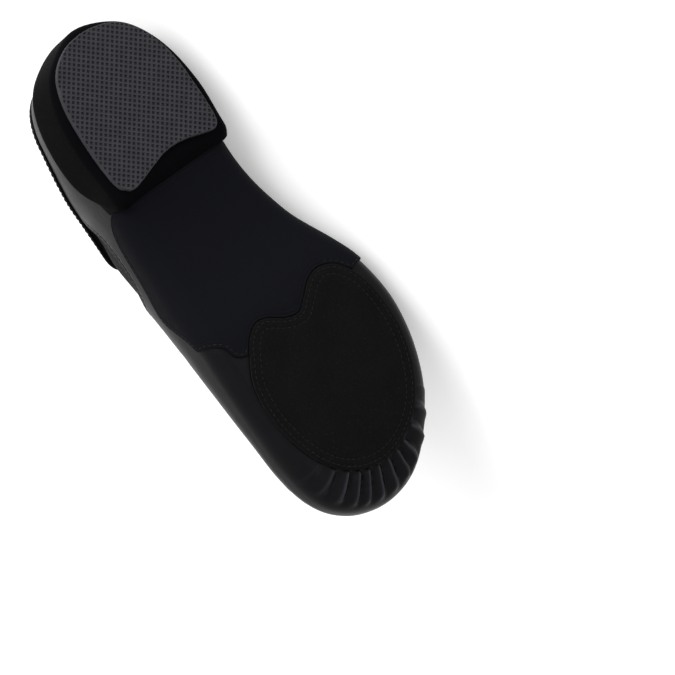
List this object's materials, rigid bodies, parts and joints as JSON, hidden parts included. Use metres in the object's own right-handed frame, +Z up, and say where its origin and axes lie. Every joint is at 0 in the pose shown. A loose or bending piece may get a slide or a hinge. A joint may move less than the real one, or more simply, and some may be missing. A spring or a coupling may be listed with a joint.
{
  "type": "jazz shoe",
  "caption": "Soft slip-on dance shoe for the right foot, lying on its outer side: hollow leather upper, split suede and rubber sole, stretch arch.",
  "frame": {"origin": "middle of the lying shoe's box, on the floor under it", "axes": "+Z up; the shoe lies on its outer side with its toe to -X, its sole to -Y and its collar to +Y"},
  "size_m": [0.2448, 0.091, 0.0922],
  "materials": {
    "leather": "satin",
    "elastic": "matte",
    "tape": "matte",
    "stretch_fabric": "matte",
    "heel_fabric": "matte",
    "rubber": "matte",
    "suede": "matte",
    "lining": "matte"
  },
  "bodies": {
    "root": {"upper": "leather", "gore": "elastic", "collar_binding": "tape", "arch_panel": "stretch_fabric", "heel_cup": "heel_fabric", "heel_pad": "rubber", "sole_patch": "suede", "insole": "lining"}
  },
  "joints": []
}
